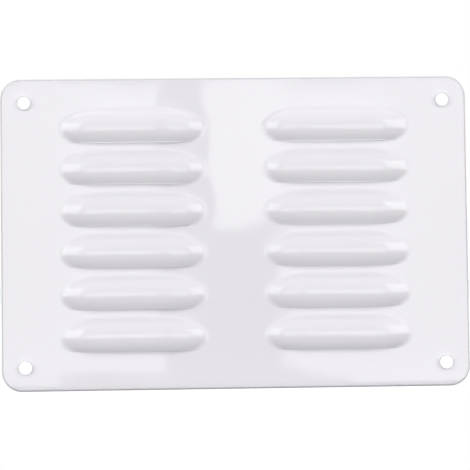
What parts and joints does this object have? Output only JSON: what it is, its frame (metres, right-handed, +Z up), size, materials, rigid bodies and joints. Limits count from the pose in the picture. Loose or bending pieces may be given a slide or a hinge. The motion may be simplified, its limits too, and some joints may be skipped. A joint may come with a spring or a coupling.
{
  "type": "louvred vent cover",
  "caption": "Rectangular pressed steel vent cover with two columns of hooded louvres that open downwards and a screw hole in each corner.",
  "frame": {"origin": "middle of the flat back, where the centre lines of the four screw holes' rectangle cross", "axes": "+X along the width to the right as seen from the front, +Z up, and the louvred front faces -Y; the back lies in the plane Y = 0"},
  "size_m": [0.2286, 0.006, 0.1524],
  "materials": {
    "white_enamel": "glossy white stoved enamel on steel sheet"
  },
  "bodies": {
    "root": {"louvred_cover": "white_enamel"}
  },
  "joints": []
}
